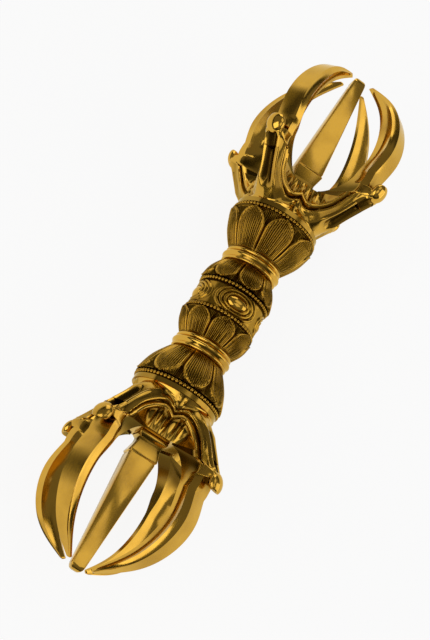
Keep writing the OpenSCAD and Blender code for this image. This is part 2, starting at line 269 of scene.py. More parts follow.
def smooth_line(points):
    """A line of even curvature through the points, as a function of the share of its length."""
    knots = [0.0]
    for a, b in zip(points, points[1:]):
        knots.append(knots[-1] + (b - a).length)
    curl = [p * 0 for p in points]
    for _ in range(CURL_PASSES):
        for i in range(1, len(points) - 1):
            before = knots[i] - knots[i - 1]
            after = knots[i + 1] - knots[i]
            pull = (points[i + 1] - points[i]) / after - (points[i] - points[i - 1]) / before
            curl[i] = (6 * pull - before * curl[i - 1] - after * curl[i + 1]) / (2 * (before + after))

    def place(t):
        """The place at a share t of the length."""
        x = t * knots[-1]
        i = max(k for k in range(len(points) - 1) if knots[k] <= x)
        gap = knots[i + 1] - knots[i]
        b = (x - knots[i]) / gap
        a = 1 - b
        sag = (a ** 3 - a) * curl[i] + (b ** 3 - b) * curl[i + 1]
        return a * points[i] + b * points[i + 1] + sag * gap * gap / 6

    return place


def bend(start, corner, stop, t, lean=0.8):
    """The place at t on a curve from start to stop that leans towards a corner."""
    first = mix(start, corner, lean)
    second = mix(stop, corner, lean)
    back = 1 - t
    return start * back ** 3 + first * 3 * t * back ** 2 + second * 3 * t ** 2 * back + stop * t ** 3


def turned(point, angle):
    """A point turned about the axis by an angle in degrees."""
    return Matrix.Rotation(math.radians(angle), 3, "Z") @ Vector(point)


def laying(end):
    """The matrix that lays a form drawn in millimetres about Z down along X, at one end."""
    turn = Matrix(((0, 0, end, 0), (0, 1, 0, 0), (-1, 0, 0, AXIS_H), (0, 0, 0, 1)))
    return Matrix.Scale(MM, 4) @ turn


def select_only(piece):
    """Leaves one piece selected and active."""
    if bpy.context.object and bpy.context.object.mode != "OBJECT":
        bpy.ops.object.mode_set(mode="OBJECT")
    bpy.ops.object.select_all(action="DESELECT")
    if piece:
        piece.select_set(True)
        bpy.context.view_layer.objects.active = piece


def wall_normals(points, faces):
    """Outward directions at the points of an open wall."""
    mesh = bpy.data.meshes.new("wall")
    mesh.from_pydata(points, [], faces)
    found = [v.normal.copy() for v in mesh.vertices]
    bpy.data.meshes.remove(mesh)
    return found


def skin(name, rings, patina_and_shade, relief=None):
    """A closed mesh over rings of points, marked with patina and painted shade and pushed out by relief."""
    count = len(rings[0])
    points = [p for ring in rings for p in ring]
    faces = []
    for j in range(len(rings) - 1):
        for i in range(count):
            a = j * count + i
            b = j * count + (i + 1) % count
            faces.append((a, b, b + count, a + count))
    if relief:
        outward = wall_normals(points, faces)
        for i in range(count):
            if abs(points[i].z - SEAT) < NEAR:
                outward[i] = level_way(rings[0][(i + 1) % count] - rings[0][i - 1], outward[i])
        points = [point + way * push for point, way, push in zip(points, outward, relief)]
    low = len(points)
    top = (len(rings) - 1) * count
    points.append(sum(rings[0], Vector()) / count)
    points.append(sum(rings[-1], Vector()) / count)
    for i in range(count):
        j = (i + 1) % count
        faces.append((low, j, i))
        faces.append((low + 1, top + i, top + j))
    mesh = bpy.data.meshes.new(name)
    mesh.from_pydata(points, [], single_faces(points, faces))
    shade = mesh.attributes.new("patina_and_shade", "FLOAT", "POINT")
    shade.data.foreach_set("value", list(patina_and_shade) + [0.0, 0.0])
    piece = bpy.data.objects.new(name, mesh)
    bpy.context.scene.collection.objects.link(piece)
    return piece


# Extra push at the seat on the end of an arm, because its underside slopes
SLOPE_STRETCH = 0.23


def level_way(along, out):
    """The way out in the seat's plane, square to its outline and longer at the end of an arm."""
    way = Vector((along.y, -along.x, 0)).normalized()
    if way.dot(out) < 0:
        way.negate()
    return way * (1 + SLOPE_STRETCH * way.x ** 2)


def single_faces(points, faces):
    """The faces without those that have no width and those that lie doubled on each other."""
    spots = {}
    for face in faces:
        corners = frozenset(tuple(round(c, NEAR_DIGITS) for c in points[i]) for i in face)
        spots.setdefault(corners, []).append(face)
    return [found[0] for corners, found in spots.items() if len(corners) > 2 and len(found) == 1]


def close_up(piece):
    """Merges doubled points and turns all faces outwards."""
    select_only(piece)
    bpy.ops.object.mode_set(mode="EDIT")
    bpy.ops.mesh.select_all(action="SELECT")
    bpy.ops.mesh.remove_doubles(threshold=NEAR)
    bpy.ops.mesh.normals_make_consistent(inside=False)
    bpy.ops.object.mode_set(mode="OBJECT")


def seat(piece, end, angle=0):
    """Turns a piece about the axis, lays it down at one end and keeps its faces outwards."""
    piece.data.transform(laying(end) @ Matrix.Rotation(math.radians(angle), 4, "Z"))
    if end < 0:
        piece.data.flip_normals()


def copy_of(piece, name):
    """A copy of a piece with its own mesh."""
    twin = piece.copy()
    twin.data = piece.data.copy()
    twin.name = name
    twin.data.name = name
    bpy.context.scene.collection.objects.link(twin)
    return twin


def finish_piece(piece, node, material, angle):
    """Smooths a piece, gives it its brass and sets it in the place of its node."""
    select_only(piece)
    bpy.ops.object.shade_smooth_by_angle(angle=math.radians(angle))
    piece.data.materials.clear()
    piece.data.materials.append(bpy.data.materials[f"{material}_finish"])
    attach(piece, BODY)
    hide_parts(node)


def both_ends(piece, node, material, angle):
    """Sets a piece and its mirror twin at the two ends."""
    for side, end in ENDS.items():
        twin = copy_of(piece, f"{side}_{node}_form")
        seat(twin, end)
        finish_piece(twin, f"{side}_{node}", material, angle)
    bpy.data.objects.remove(piece)


def lathe(name, outline, segments):
    """A round form turned from an outline of radius and height, drawn up ring by ring."""
    select_only(None)
    radius, height = outline[0]
    bpy.ops.mesh.primitive_circle_add(
        vertices=segments, radius=radius, fill_type="NGON", location=(0, 0, height))
    piece = bpy.context.object
    piece.name = name
    bpy.ops.object.mode_set(mode="EDIT")
    bpy.ops.mesh.select_all(action="SELECT")
    for r, z in outline[1:]:
        bpy.ops.mesh.extrude_region_move(TRANSFORM_OT_translate={"value": (0, 0, z - height)})
        bpy.ops.transform.resize(value=(r / radius, r / radius, 1), center_override=(0, 0, z))
        radius, height = r, z
    bpy.ops.object.mode_set(mode="OBJECT")
    bpy.ops.object.transform_apply(location=True)
    close_up(piece)
    return piece


def shader_group(name, inputs, outputs):
    """An empty shader node group with named sockets."""
    group = bpy.data.node_groups.new(name, "ShaderNodeTree")
    for label, kind, value in inputs:
        socket = group.interface.new_socket(label, in_out="INPUT", socket_type=kind)
        socket.default_value = value
    for label, kind in outputs:
        group.interface.new_socket(label, in_out="OUTPUT", socket_type=kind)
    start = group.nodes.new("NodeGroupInput")
    stop = group.nodes.new("NodeGroupOutput")
    return group, start, stop


def node(tree, kind, **settings):
    """Adds a node and sets its properties."""
    made = tree.nodes.new(kind)
    for key, value in settings.items():
        setattr(made, key, value)
    return made


def wire(tree, *pairs):
    """Links outputs to inputs, given in pairs."""
    for source, target in pairs:
        tree.links.new(source, target)


# Clouds of dulled polish, in clouds to a metre, and the range of the noise that turns dull
CLOUD_SCALE = 90
CLOUD_DETAIL = 5
DULL_FROM = 0.42
DULL_TO = 0.68
# Fine polishing marks, in marks to a metre, drawn out along the axis
MARK_SCALE = 2600
MARK_DETAIL = 2
MARK_STRETCH = (0.12, 1, 1)


def worn_brass():
    """Group: brass that is bright where it is rubbed and brown in its cuts and where shade is painted, with
    fine polishing marks.
    """
    group, start, stop = shader_group(
        "Worn brass",
        [
            ("Bright", "NodeSocketColor", (1, 1, 1, 1)),
            ("Dull", "NodeSocketColor", (1, 1, 1, 1)),
            ("Deep", "NodeSocketColor", (0, 0, 0, 1)),
            ("Patina and shade", "NodeSocketFloat", 0.0),
            ("Smooth", "NodeSocketFloat", 0.1),
            ("Rough", "NodeSocketFloat", 0.3),
        ],
        [("Color", "NodeSocketColor"), ("Roughness", "NodeSocketFloat"), ("Height", "NodeSocketFloat")],
    )
    place = node(group, "ShaderNodeTexCoord")
    cloud = node(group, "ShaderNodeTexNoise")
    cloud.inputs["Scale"].default_value = CLOUD_SCALE
    cloud.inputs["Detail"].default_value = CLOUD_DETAIL
    marks = node(group, "ShaderNodeTexNoise")
    marks.inputs["Scale"].default_value = MARK_SCALE
    marks.inputs["Detail"].default_value = MARK_DETAIL
    stretch = node(group, "ShaderNodeMapping")
    stretch.inputs["Scale"].default_value = MARK_STRETCH
    dull = node(group, "ShaderNodeMapRange")
    dull.inputs["From Min"].default_value = DULL_FROM
    dull.inputs["From Max"].default_value = DULL_TO
    surface = node(group, "ShaderNodeMix", data_type="RGBA")
    # Mixes in the deep colour by the patina and the painted shade
    aged = node(group, "ShaderNodeMix", data_type="RGBA")
    sheen = node(group, "ShaderNodeMix", data_type="FLOAT")
    grime = node(group, "ShaderNodeMath", operation="MAXIMUM")
    wire(
        group,
        (place.outputs["Object"], cloud.inputs["Vector"]),
        (place.outputs["Object"], stretch.inputs["Vector"]),
        (stretch.outputs["Vector"], marks.inputs["Vector"]),
        (cloud.outputs["Fac"], dull.inputs["Value"]),
        (dull.outputs["Result"], surface.inputs["Factor"]),
        (start.outputs["Bright"], surface.inputs["A"]),
        (start.outputs["Dull"], surface.inputs["B"]),
        (start.outputs["Patina and shade"], aged.inputs["Factor"]),
        (surface.outputs["Result"], aged.inputs["A"]),
        (start.outputs["Deep"], aged.inputs["B"]),
        (dull.outputs["Result"], grime.inputs[0]),
        (start.outputs["Patina and shade"], grime.inputs[1]),
        (grime.outputs["Value"], sheen.inputs["Factor"]),
        (start.outputs["Smooth"], sheen.inputs["A"]),
        (start.outputs["Rough"], sheen.inputs["B"]),
        (aged.outputs["Result"], stop.inputs["Color"]),
        (sheen.outputs["Result"], stop.inputs["Roughness"]),
        (marks.outputs["Fac"], stop.inputs["Height"]),
    )
    return group


# Tint of the metal where it is seen edge on
EDGE_TINT = (0.95, 0.86, 0.55)
COAT_ROUGHNESS = 0.08
COAT_IOR = 1.7
# Depth of the polishing marks in metres
MARK_DEPTH = 0.0001
# Each finish: colour where bright, colour where dull, roughness of both, strength of the marks and clear coat
FINISHES = {
    "polished_brass": ("bright", "warm", 0.11, 0.24, 0.05, 0.25),
    "antique_brass": ("warm", "aged", 0.15, 0.30, 0.15, 0.15),
    "core_brass": ("warm", "warm", 0.25, 0.35, 0.10, 0.0),
}


def brass(name, group, tone):
    """One finish of brass, in the tones of the user's colours."""
    bright, dull, smooth, rough, marks, coat = FINISHES[name]
    material = bpy.data.materials.new(f"{name}_finish")
    material.use_nodes = True
    tree = material.node_tree
    shader = tree.nodes["Principled BSDF"]
    shader.inputs["Metallic"].default_value = 1.0
    shader.inputs["Specular Tint"].default_value = (*EDGE_TINT, 1)
    shader.inputs["Coat Roughness"].default_value = COAT_ROUGHNESS
    shader.inputs["Coat IOR"].default_value = COAT_IOR
    wear = node(tree, "ShaderNodeGroup", node_tree=group)
    for label, key in (("Bright", bright), ("Dull", dull), ("Deep", "deep")):
        wear.inputs[label].default_value = (*getattr(tone, key), 1)
    wear.inputs["Smooth"].default_value = smooth
    wear.inputs["Rough"].default_value = rough
    cuts = node(tree, "ShaderNodeAttribute", attribute_name="patina_and_shade")
    bump = node(tree, "ShaderNodeBump")
    bump.inputs["Strength"].default_value = marks
    bump.inputs["Distance"].default_value = MARK_DEPTH
    wire(
        tree,
        (cuts.outputs["Fac"], wear.inputs["Patina and shade"]),
        (wear.outputs["Color"], shader.inputs["Base Color"]),
        (wear.outputs["Roughness"], shader.inputs["Roughness"]),
        (wear.outputs["Height"], bump.inputs["Height"]),
        (bump.outputs["Normal"], shader.inputs["Normal"]),
    )
    if coat:
        lacquer = node(tree, "ShaderNodeMath", operation="MULTIPLY_ADD", use_clamp=True)
        lacquer.inputs[1].default_value = -coat
        lacquer.inputs[2].default_value = coat
        wire(
            tree,
            (cuts.outputs["Fac"], lacquer.inputs[0]),
            (lacquer.outputs["Value"], shader.inputs["Coat Weight"]),
        )


class VAJRA_OT_brass(bpy.types.Operator):
    """Make the brass finishes"""
    bl_idname = "vajra.brass"
    bl_label = "Brass finishes"

    def execute(self, context):
        group = worn_brass()
        for name in FINISHES:
            brass(name, group, context.scene.vajra_brass)
        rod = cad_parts["tie_rod"]
        rod.data.materials.clear()
        rod.data.materials.append(bpy.data.materials["core_brass_finish"])
        return {"FINISHED"}


# Place of the side ridges between keel and outer face, on the foot and on the blade
RIDGE_AT = (0.61, 0.68)
# Corners along half the outline of a section, and the hollow of the blade's outer flank
FACE_CORNER = 0.5
KEEL_CORNER = 0.8
FLANK_HOLLOW = 0.12


def outer_half(station, share):
    """Half of a prong's section from the side ridge, at share 0, to the middle of its outer face, at 1."""
    foot = bend(
        Vector((station.ridge_at, station.ridge)),
        Vector((1, station.ridge)),
        Vector((1, 0)),
        share,
    )
    if share < FACE_CORNER:
        t = share / FACE_CORNER
        hollow = FLANK_HOLLOW * math.sin(math.pi * t)
        blade = Vector((mix(station.ridge_at, 1, t), mix(station.ridge, station.face, t) - hollow))
    else:
        blade = Vector((1, mix(station.face, 0, (share - FACE_CORNER) / (1 - FACE_CORNER))))
    return mix(foot, blade, station.blade)


def inner_half(s, station, share):
    """Half of a prong's section from the side ridge, at share 0, to the middle of its keel, at 1."""
    t = min(1, share / KEEL_CORNER)
    hollow = s.spoon * math.sin(math.pi * t) * station.hollow
    flank = Vector((station.ridge_at * (1 - t), mix(station.ridge, station.keel, t) - hollow))
    if share > KEEL_CORNER:
        flank.y = station.keel * (1 - (share - KEEL_CORNER) / (1 - KEEL_CORNER))
    return flank


# Sections along the arm, the claw and the blade, and points round half a section
ARM_STEPS = 5
CLAW_STEPS = 36
BLADE_STEPS = 56
OUTER_STEPS = 30
INNER_STEPS = 10
# Where the outer face and the keel bend, as shares of the way in and up from the widest place to the tip
BEND_OUT = (0.36, 0.69)
BEND_IN = (0.41, 0.62)
# Slope of the arm's underside, which runs on into the claw
ARM_SLOPE = 0.72
# The curl of the claw's lip: its first and last angle, and the share of it that the arm runs on to
LIP_FROM = -70
LIP_TO = 105
LIP_JOIN = 0.2
# Share of the claw that its lip takes up before it turns to the neck
NECK_FROM = 0.76
# How far the turn at the neck lies outside the blade and over the lip
NOTCH = 0.3
# How much higher the blade's outer face starts than its keel
NECK_RISE = 0.8
# The corner that the inner root leans towards, in from the neck and up from the foot, and how much it leans
ROOT_CORNER = (0.8, 1.0)
ROOT_LEAN = 0.45
# At the neck: how far the section has turned from foot to blade, and its width from root to keel
NECK_BLADE = 0.7
NECK_KEEL = 0.6
# Hollow beside the keel at the foot and at the neck, as shares of the blade's hollow
FOOT_HOLLOW = 0.2
NECK_HOLLOW = 0.8
# Share of the claw's own width halfway along it
CLAW_SWELL = 0.5
# Start and length of what comes in or runs out along the lip or the claw
BLADE_IN = (0.55, 0.45)
RIBS_OUT = (0.0, 0.36)
CHANNEL_OUT = (0.04, 0.14)
SCOOP_IN = (0.5, 0.14)
SCOOP_OUT = (0.84, 0.14)
ROOT_SHADE_OUT = (0.4, 0.6)
# Start and length of the stretch in which the blade takes on its full section
SETTLE_IN = (0.0, 0.2)
# How late the blade thins, and its widths at the tip as shares of the tip's width
THINNING = 2.2
TIP_RIDGE = 0.55
TIP_KEEL = 0.4
# Angles of the sections that round the tip off
TIP_ROUND = (20, 40, 58, 74, 86)


def prong_stations(s):
    """Sections along a side prong, each with its outer edge, inner edge and widths."""
    top = PRONG_TIP - SEAT
    arm = s.arm_w / 2
    root = s.root_w / 2
    lip_mid = Vector((s.claw_reach - s.claw_t, s.claw_mid))
    found = []

    def along(r, share):
        """A place on the blade between its widest place at radius r and its tip."""
        return Vector((mix(r, s.tip_r, share[0]), mix(s.bulge_h, top, share[1])))

    def lip(t):
        """A place on the claw's lip."""
        angle = math.radians(mix(LIP_FROM, LIP_TO, t))
        return lip_mid + Vector((s.claw_t * math.cos(angle), s.claw_lip / 2 * math.sin(angle)))

    def add(outer, inner, blade, face, ridge, keel, hollow, ribs=0, channel=0, scoop=0, shade=0):
        """Adds one section."""
        found.append(SimpleNamespace(
            outer=outer, inner=inner, blade=blade, face=face, ridge=ridge, keel=keel, hollow=hollow,
            ribs=ribs, channel=channel, scoop=scoop, shade=shade, ridge_at=mix(*RIDGE_AT, blade)))

    blade_out = smooth_line([
        Vector((s.neck_out, s.neck_h + NECK_RISE)),
        Vector((s.bulge_out, s.bulge_h)),
        along(s.bulge_out, BEND_OUT),
        Vector((s.tip_r + s.tip_t / 2, top)),
    ])
    blade_in = smooth_line([
        Vector((s.neck_in, s.neck_h)),
        Vector((s.bulge_in, s.bulge_h)),
        along(s.bulge_in, BEND_IN),
        Vector((s.tip_r - s.tip_t / 2, top - s.tip_t / 2)),
    ])
    root_in = Vector((s.foot_in, s.foot_step))
    root_turn = Vector((s.neck_in - ROOT_CORNER[0], s.foot_step + ROOT_CORNER[1]))
    root_top = Vector((s.neck_in, s.neck_h))
    below = Vector((s.arm_reach - ARM_SLOPE * s.claw_t, -s.claw_t))
    climb = [below, Vector((s.arm_reach, 0)), lip(0), lip(LIP_JOIN)]
    for j in range(ARM_STEPS):
        t = j / ARM_STEPS
        outer = spline(climb, (1 + t) / 3)
        inner = Vector((s.foot_in, s.foot_step * t))
        add(outer, inner, 0, arm, arm, root, FOOT_HOLLOW, ribs=1, channel=1, shade=1)
    notch = Vector((s.neck_out + NOTCH, lip(1).y + NOTCH))
    for j in range(CLAW_STEPS):
        t = j / CLAW_STEPS
        u = min(1, t / NECK_FROM)
        over = max(0, t - NECK_FROM) / (1 - NECK_FROM)
        swell = CLAW_SWELL * math.sin(math.pi * t)
        width = mix(mix(arm, s.ridge_w / 2, t), s.claw_w / 2, swell)
        blade = onset(u, *BLADE_IN) * NECK_BLADE
        add(
            bend(lip(u), notch, blade_out(0), over),
            bend(root_in, root_turn, root_top, t, ROOT_LEAN),
            blade,
            mix(width, s.blade_w / 2, blade),
            width,
            mix(root, s.keel_w / 2, ease(t) * NECK_KEEL),
            mix(FOOT_HOLLOW, NECK_HOLLOW, t),
            ribs=1 - onset(u, *RIBS_OUT),
            channel=1 - onset(u, *CHANNEL_OUT),
            scoop=onset(t, *SCOOP_IN) * (1 - onset(t, *SCOOP_OUT)),
            shade=1 - onset(t, *ROOT_SHADE_OUT),
        )
    neck_keel = mix(root, s.keel_w / 2, NECK_KEEL)
    for j in range(BLADE_STEPS + 1):
        t = j / BLADE_STEPS
        thin = 1 - t ** THINNING
        settle = onset(t, *SETTLE_IN)
        add(
            blade_out(t),
            blade_in(t),
            mix(NECK_BLADE, 1, settle),
            mix(s.tip_w / 2, s.blade_w / 2, thin),
            mix(TIP_RIDGE * s.tip_w, s.ridge_w / 2, thin),
            mix(TIP_KEEL * s.tip_w, mix(neck_keel, s.keel_w / 2, settle), thin),
            mix(NECK_HOLLOW, 1, settle) * thin,
        )
    tip = found[-1]
    ahead = (tip.outer + tip.inner - found[-2].outer - found[-2].inner).normalized()
    for angle in TIP_ROUND:
        shrink = math.cos(math.radians(angle))
        middle = (tip.outer + tip.inner) / 2 + ahead * s.tip_t / 2 * math.sin(math.radians(angle))
        half = (tip.outer - tip.inner) / 2 * shrink
        add(middle + half, middle - half, 1, tip.face * shrink, tip.ridge * shrink, tip.keel * shrink, 0)
    return found


def prong_ring(s, station):
    """The closed ring of points of one section."""
    half = [outer_half(station, 1 - i / OUTER_STEPS) for i in range(OUTER_STEPS + 1)]
    half += [inner_half(s, station, i / INNER_STEPS) for i in range(1, INNER_STEPS + 1)]
    around = half + [Vector((p.x, -p.y)) for p in reversed(half[1:-1])]
    ring = []
    for depth, across in around:
        edge = mix(station.inner, station.outer, depth)
        ring.append(Vector((edge.x, across, SEAT + edge.y)))
    return ring


# Start and length of the side of the hollow on top of the claw, and how much darker it is
SCOOP_SIDE = (0.2, 0.35)
SCOOP_DARK = 0.7
# Painted shade on the inner root
ROOT_SHADE = 0.88
# Least share of the ribs, so that the channel can be measured against them
LEAST_RIBS = 0.01


def prong_relief(s, c, station, ring):
    """How far each point of a prong's ring is pushed out by the arm's ribs, and its patina and painted shade.
    """
    pushes = []
    darks = []
    count = len(ring)
    under = station.channel / max(station.ribs, LEAST_RIBS)
    for i, point in enumerate(ring):
        step = min(i, count - i)
        if step > OUTER_STEPS:
            pushes.append(0.0)
            # Painted shade on the inner faces, fading out along the claw
            darks.append(ROOT_SHADE * station.shade)
            continue
        rim = ring[OUTER_STEPS] if i <= count / 2 else ring[count - OUTER_STEPS]
        away = (point - rim).length
        share = step / OUTER_STEPS
        middle = station.scoop * (1 - onset(share, *SCOOP_SIDE))
        pushes.append(station.ribs * wall_relief(c, away, share, under) - s.scoop * middle)
        darks.append(min(DARKEST, station.ribs * wall_darkening(away, share, under) + SCOOP_DARK * middle))
    return pushes, darks


# The leaf at the end of a claw: how far its face passes the claw, its rise over the lip and its lean
LEAF_OUT = 1.5
LEAF_RISE = 1.7
LEAF_LEAN = 18
# The hollow on top of the leaf: its lean, its rim and depth as shares of the leaf, and how much darker it is
LEAF_HOLLOW_LEAN = 20
LEAF_RIM = 0.6
LEAF_HOLLOW = 0.2
LEAF_DARK = 0.7
LEAF_SEGMENTS = 36
LEAF_ROWS = 24


class VAJRA_OT_prongs(bpy.types.Operator):
    """Model one side prong with its claw and blade and set eight of them"""
    bl_idname = "vajra.prongs"
    bl_label = "Side prongs"

    def execute(self, context):
        s = sizes("vajra_prong")
        c = sizes("vajra_crown")
        rings = []
        relief = []
        patina_and_shade = []
        for station in prong_stations(s):
            ring = prong_ring(s, station)
            pushes, darks = prong_relief(s, c, station, ring)
            rings.append(ring)
            relief += pushes
            patina_and_shade += darks
        first = skin("prong", rings, patina_and_shade, relief)
        self.leaf(s, first)
        # No claw passes the flats that the vajra rests on, which lie at 45 degrees to the prongs
        limit = AXIS_H * math.sqrt(2) - INSET
        for v in first.data.vertices:
            v.co.z = max(v.co.z, SEAT)
            v.co.x = min(v.co.x, limit - abs(v.co.y))
        close_up(first)
        for side, end in ENDS.items():
            for k in PRONGS:
                prong = copy_of(first, f"{side}_prong_{k}_blade")
                seat(prong, end, QUARTER * k - EIGHTH)
                finish_piece(prong, f"{side}_prong_{k}", "polished_brass", angle=28)
        bpy.data.objects.remove(first)
        return {"FINISHED"}

    def leaf(self, s, prong):
        """Adds the leaf that stands up at the end of the claw, round outside and hollow on top."""
        middle = (s.claw_reach + LEAF_OUT - s.leaf_t / 2, 0, SEAT + s.claw_mid + LEAF_RISE)
        select_only(None)
        bpy.ops.mesh.primitive_uv_sphere_add(
            segments=LEAF_SEGMENTS, ring_count=LEAF_ROWS, radius=0.5, location=middle)
        leaf = bpy.context.object
        dark = leaf.data.attributes.new("patina_and_shade", "FLOAT", "POINT")
        lean = math.radians(LEAF_HOLLOW_LEAN)
        top = Vector((-math.sin(lean), 0, math.cos(lean)))
        for i, v in enumerate(leaf.data.vertices):
            hollow = onset(2 * v.co.dot(top), LEAF_RIM, 1 - LEAF_RIM)
            v.co -= top * LEAF_HOLLOW * hollow
            dark.data[i].value = LEAF_DARK * hollow
        leaf.scale = (s.leaf_t, s.leaf_w, s.leaf_h)
        leaf.rotation_euler = (0, math.radians(LEAF_LEAN), 0)
        bpy.ops.object.transform_apply(location=True, rotation=True, scale=True)
        select_only(prong)
        leaf.select_set(True)
        bpy.ops.object.join()


# Points along the rim from arch to arm, and up the wall and the flutes
RIM_STEPS = 36
WALL_STEPS = 40
FLUTE_STEPS = 10
# How much closer the rows lie towards the rim
ROW_CROWDING = 1.3
# Share of the way from arch to arm at which the foot leaves the ledge, and how it runs out along the arm
ROOT_SHARE = 0.4
FOOT_RUN = 0.9
# Start and length of the change from the web under an arch to the side of an arm
ARM_IN = (0.1, 0.45)
# How deep the web lies inside the arch, and how high its bend and that of the arm lie from foot to rim
WEB_DEPTH = 1.1
WEB_RISE = 0.4
ARM_RISE = 0.1
# Where the flutes bend on their way in and up from the rim to the seat
FLUTE_BEND = (0.62, 0.2)
# Start and length of the rise over the foot in which the relief gains its sideways part
FOOT_SETTLE = (0.0, 0.15)
# Step with which slopes are measured
SLOPE_STEP = 0.004


def crown_lines(s, p, g):
    """Points of the crown's foot, wall corner, swag rim and seat outline at share g from arch to arm."""
    ledge = CROWN[0] + s.ledge_h
    half = math.sqrt(0.5)
    arm = p.arm_w / 2
    ridge_r = mix(p.foot_in, p.arm_reach, RIDGE_AT[0])
    arch = CROWN[0] + s.arch_h
    # From the cusp of the arch, down and out beside it and up to the side ridge of the prong
    rim = spline([
        turned((s.arch_r, 0, arch + s.cusp), EIGHTH),
        turned((s.arch_r + 0.3, 0, arch - 0.25 * s.cusp), 33),
        turned((s.arch_r + 0.7, 0, arch + 0.5), 23),
        Vector((mix(s.arch_r, ridge_r, 0.5), arm + 0.15, mix(arch, SEAT, 0.52))),
        Vector((ridge_r, arm, SEAT)),
    ], g)
    if g < ROOT_SHARE:
        foot = turned((s.wall_r, 0, ledge), EIGHTH * (1 - g / ROOT_SHARE))
    else:
        t = (g - ROOT_SHARE) / (1 - ROOT_SHARE)
        foot = Vector((mix(s.wall_r, p.arm_reach, t ** FOOT_RUN), 0, mix(ledge, SEAT, t)))
    web = Vector((rim.x, rim.y, 0)).normalized() * (s.arch_r - WEB_DEPTH)
    web.z = mix(foot.z, rim.z, WEB_RISE)
    arm_corner = Vector((foot.x, rim.y, mix(foot.z, rim.z, ARM_RISE)))
    corner = mix(web, arm_corner, onset(g, *ARM_IN))
    # From the saddle between two arms, along the prong's root to its side ridge
    top = spline([
        Vector((s.saddle_r * half, s.saddle_r * half, SEAT)),
        Vector((s.saddle_r * 0.88, s.saddle_r * 0.5, SEAT)),
        Vector((mix(p.foot_in, ridge_r, 0.1), p.root_w / 2 + 0.3, SEAT)),
        Vector((mix(p.foot_in, ridge_r, 0.55), mix(p.root_w / 2, arm, 0.5), SEAT)),
        Vector((ridge_r, arm, SEAT)),
    ], g)
    return foot, corner, rim, top


# Beside the rim: middle and half width of the upper rib, the lower rib, the groove and the hollow side
UPPER_RIB = (0.55, 0.6)
LOWER_RIB = (2.6, 0.6)
LOWER_RIB_H = 0.4
RIB_GROOVE = (1.65, 0.42)
SIDE_HOLLOW = (4.2, 1.0)
# Start and length of the rise in which the hollow side comes in, and of the channel's wall
SIDE_IN = (0.25, 0.15)
CHANNEL_WALL = (0.02, 0.22)
# Middle and half width of the channel's lip, and its height as a share of the channel's depth
CHANNEL_LIP = (0.32, 0.07)
CHANNEL_LIP_H = 0.4
# The same for the darkening, each with its strength: patina in the groove, a darker hollow side, and patina
# with a painted dark reflection in the channel
GROOVE_STAIN = (1.65, 0.45)
GROOVE_DARK = 0.9
SIDE_DARK_SPAN = (4.4, 1.3)
SIDE_DARK = 0.4
CHANNEL_DARK_SPAN = (0.16, 0.1)
CHANNEL_DARK = 0.92


def wall_relief(s, away, share, under):
    """How far the wall is pushed out: swag ribs beside the rim, a hollow side and a channel under the arm."""
    ribs = s.rib * (hump(away, *UPPER_RIB) + LOWER_RIB_H * hump(away, *LOWER_RIB))
    groove = s.groove * hump(away, *RIB_GROOVE)
    side = s.hollow * hump(away, *SIDE_HOLLOW) * onset(share, *SIDE_IN)
    lip = CHANNEL_LIP_H * s.channel * hump(share, *CHANNEL_LIP)
    channel = s.channel * (1 - onset(share, *CHANNEL_WALL))
    return ribs - groove - side + under * (lip - channel)


def wall_darkening(away, share, under):
    """Darkening of the wall: patina in the groove between the ribs, darker in the hollow side, and patina
    with a painted dark reflection in the channel.
    """
    groove = GROOVE_DARK * hump(away, *GROOVE_STAIN)
    side = SIDE_DARK * hump(away, *SIDE_DARK_SPAN) * onset(share, *SIDE_IN)
    # Patina with a painted dark reflection in the channel under the arm
    channel = CHANNEL_DARK * under * (1 - onset(share, *CHANNEL_DARK_SPAN))
    return max(groove, side, channel)


def crown_point(s, p, g, level):
    """A plain point of the crown: level 0 is its foot, 1 the swag rim and 2 the seat outline."""
    foot, corner, rim, top = crown_lines(s, p, g)
    if level <= 1:
        return bend(foot, corner, rim, level)
    inward, upward = FLUTE_BEND
    middle = Vector((mix(rim.x, top.x, inward), mix(rim.y, top.y, inward), mix(rim.z, top.z, upward)))
    return bend(rim, middle, top, level - 1)


def crown_outward(s, p, g, level):
    """The direction out of the crown's plain surface."""
    part = 0 if level <= 1 else 1
    low = max(part, level - SLOPE_STEP)
    high = min(part + 1, level + SLOPE_STEP)
    near = max(0, g - SLOPE_STEP)
    far = min(1, g + SLOPE_STEP)
    across = crown_point(s, p, near, level) - crown_point(s, p, far, level)
    up = crown_point(s, p, g, high) - crown_point(s, p, g, low)
    out = across.cross(up).normalized()
    out.y *= onset(level, *FOOT_SETTLE)
    if g == 0:
        beside = turned((0, 1, 0), EIGHTH)
        out -= beside * out.dot(beside)
    return level_way(up, out) if g == 1 else out


# Patina of the ledge
LEDGE_DARK = 0.4
# Start and length of the channel's coming in from arch to arm
CHANNEL_IN = (0.5, 0.15)
# The tongue under an arch: how it comes in and runs out up the wall
TONGUE_IN = (0.0, 0.1)
TONGUE_OUT = (0.6, 0.3)
# Its ribs and the cut between them: distance from its middle and half width, then height or depth
TONGUE_RIB = (1.1, 0.3)
TONGUE_RIB_H = 0.35
TONGUE_CUT = (0.0, 0.55)
TONGUE_CUT_D = 0.3
# Patina in the cut and beside the ribs
CUT_STAIN = (0.0, 0.7)
CUT_DARK = 0.8
BESIDE_STAIN = (1.9, 0.5)
BESIDE_DARK = 0.5
# Flutes in half an arch, the share of the rim where they end, their depth, and their patina on top and below
FLUTES = 3
FLUTE_END = 0.72
FLUTE_D = 0.8
FLUTE_DARK = (0.25, 0.85)


